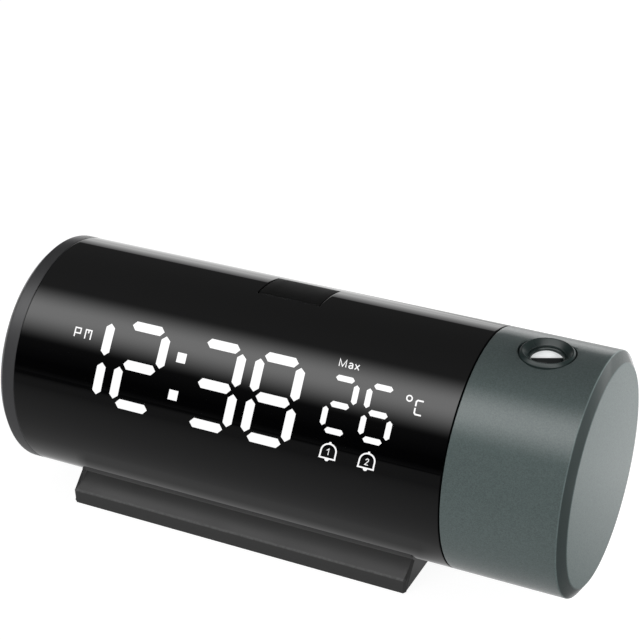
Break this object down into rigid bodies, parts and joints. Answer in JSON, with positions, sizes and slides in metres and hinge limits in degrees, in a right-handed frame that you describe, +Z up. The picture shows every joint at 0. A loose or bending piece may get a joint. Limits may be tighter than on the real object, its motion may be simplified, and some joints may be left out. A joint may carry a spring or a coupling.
{
  "type": "projection alarm clock",
  "caption": "Round horizontal desk clock with a gloss black display tube on a low stand, a snooze bar on top and a swivelling projector module with a focus ring at one end.",
  "frame": {"origin": "middle of the footprint, on the surface that the clock stands on", "axes": "+X along the tube towards the projector, -Y towards the display, +Z up"},
  "size_m": [0.17, 0.068, 0.0706],
  "materials": {
    "smoked_shell": "high gloss, smoked black",
    "dark_cap": "satin",
    "inner_plastic": "moulded",
    "white_plastic": "moulded white",
    "circuit_board": "solder mask",
    "lamp_chips": "phosphor",
    "screw_steel": "zinc plated",
    "component_black": "moulded",
    "rear_plastic": "fine texture",
    "bright_metal": "nickel plated",
    "lead_red": "insulation",
    "stand_plastic": "satin dark grey",
    "foot_rubber": "matt",
    "metallic_paint": "satin grey-green metallic paint",
    "spring_steel": "bright",
    "lamp_red": "clear red",
    "clear_lens": "polished",
    "image_glass": "polished",
    "lens_black": "satin black",
    "snooze_matte": "matt black",
    "button_grey": "satin"
  },
  "bodies": {
    "clock": {"display_tube": "smoked_shell", "left_end_cap": "dark_cap", "tube_bulkhead": "inner_plastic", "chassis": "inner_plastic", "segment_housing": "white_plastic", "diffuser_film": "white_plastic", "display_board": "circuit_board", "segment_leds": "lamp_chips", "display_screws": "screw_steel", "main_board": "circuit_board", "board_components": "component_black", "main_board_screws": "screw_steel", "speaker": "component_black", "rear_panel": "rear_plastic", "button_board": "circuit_board", "button_switches": "component_black", "button_board_screws": "screw_steel", "power_inlet": "bright_metal", "temperature_sensor": "component_black", "cell_holder": "component_black", "backup_cell": "bright_metal", "battery_door": "rear_plastic", "battery_door_screw": "screw_steel", "snooze_carrier": "inner_plastic", "snooze_switch": "component_black", "bulkhead_screws": "screw_steel", "projector_lead": "lead_red", "stand": "stand_plastic", "rubber_feet": "foot_rubber", "stand_screws": "screw_steel"},
    "snooze": {"snooze_bar": "snooze_matte"},
    "button_1": {"button_1": "button_grey"},
    "button_2": {"button_2": "button_grey"},
    "button_3": {"button_3": "button_grey"},
    "button_4": {"button_4": "button_grey"},
    "button_5": {"button_5": "button_grey"},
    "button_6": {"button_6": "button_grey"},
    "projector": {"projector_housing": "metallic_paint", "projector_plate": "inner_plastic", "projector_screws": "screw_steel", "friction_washer": "spring_steel", "retaining_ring": "spring_steel", "optics_tube": "inner_plastic", "optics_screws": "screw_steel", "lamp_board": "circuit_board", "projection_lamp": "lamp_red", "condenser_lens": "clear_lens", "image_panel": "image_glass", "lamp_lead": "lead_red"},
    "focus": {"focus_ring": "lens_black"},
    "lens": {"lens_cell": "lens_black", "projection_lens": "clear_lens"}
  },
  "joints": [
    {"name": "projector_swivel", "type": "hinge", "parent": "clock", "child": "projector", "pos_m": [0.0514, 0, 0.036], "axis": [1, 0, 0], "range_deg": [-92, 88]},
    {"name": "focus_turn", "type": "hinge", "parent": "projector", "child": "focus", "pos_m": [0.0672, 0, 0.036], "axis": [0, -0.0279, 0.9996], "range_deg": [-90, 90]},
    {"name": "lens_travel", "type": "slide", "parent": "projector", "child": "lens", "axis": [0, -0.0279, 0.9996], "range_m": [-0.00075, 0.00075]},
    {"name": "snooze_press", "type": "slide", "parent": "clock", "child": "snooze", "axis": [0, -0.1132, -0.9936], "range_m": [0, 0.001], "stiffness_N_per_m": 800, "springref_m": -0.0006},
    {"name": "button_1_press", "type": "slide", "parent": "clock", "child": "button_1", "axis": [0, -1, 0], "range_m": [0, 0.0008], "stiffness_N_per_m": 900, "springref_m": -0.0006},
    {"name": "button_2_press", "type": "slide", "parent": "clock", "child": "button_2", "axis": [0, -1, 0], "range_m": [0, 0.0008], "stiffness_N_per_m": 900, "springref_m": -0.0006},
    {"name": "button_3_press", "type": "slide", "parent": "clock", "child": "button_3", "axis": [0, -1, 0], "range_m": [0, 0.0008], "stiffness_N_per_m": 900, "springref_m": -0.0006},
    {"name": "button_4_press", "type": "slide", "parent": "clock", "child": "button_4", "axis": [0, -1, 0], "range_m": [0, 0.0008], "stiffness_N_per_m": 900, "springref_m": -0.0006},
    {"name": "button_5_press", "type": "slide", "parent": "clock", "child": "button_5", "axis": [0, -1, 0], "range_m": [0, 0.0008], "stiffness_N_per_m": 900, "springref_m": -0.0006},
    {"name": "button_6_press", "type": "slide", "parent": "clock", "child": "button_6", "axis": [0, -1, 0], "range_m": [0, 0.0008], "stiffness_N_per_m": 900, "springref_m": -0.0006}
  ],
  "couplings": [
    {"joint": "focus_turn", "follows": "lens_travel", "rad_per_m": 2094.2}
  ]
}
